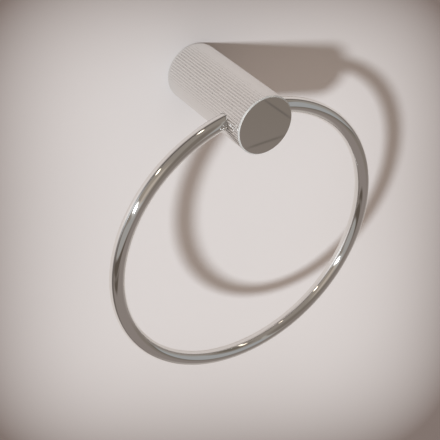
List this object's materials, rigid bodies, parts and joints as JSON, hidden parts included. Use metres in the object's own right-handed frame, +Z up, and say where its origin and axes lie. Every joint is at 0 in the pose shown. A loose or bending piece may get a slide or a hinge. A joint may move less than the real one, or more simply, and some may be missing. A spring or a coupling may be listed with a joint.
{
  "type": "towel ring",
  "caption": "Wall-mounted towel ring: a round fluted post with a polished flat front face holds a fixed ring of round bar, with a concealed wall bracket inside.",
  "frame": {"origin": "middle of the post's wall side, on the plane of the wall", "axes": "+Y into the wall, -Y along the post into the room, +Z up, +X to the right seen from the room"},
  "size_m": [0.172, 0.07, 0.1826],
  "materials": {
    "fluted_chrome": "bright chrome plate on brass, mirror polished, with fine lengthwise flutes",
    "ring_chrome": "bright chrome plate on round brass bar, mirror polished",
    "screw_steel": "plain stainless steel set screw",
    "bracket_metal": "turned, unpolished steel"
  },
  "bodies": {
    "root": {"post": "fluted_chrome", "ring": "ring_chrome", "ring_lock_screws": "screw_steel", "wall_bracket": "bracket_metal", "bracket_grub_screw": "screw_steel"}
  },
  "joints": []
}
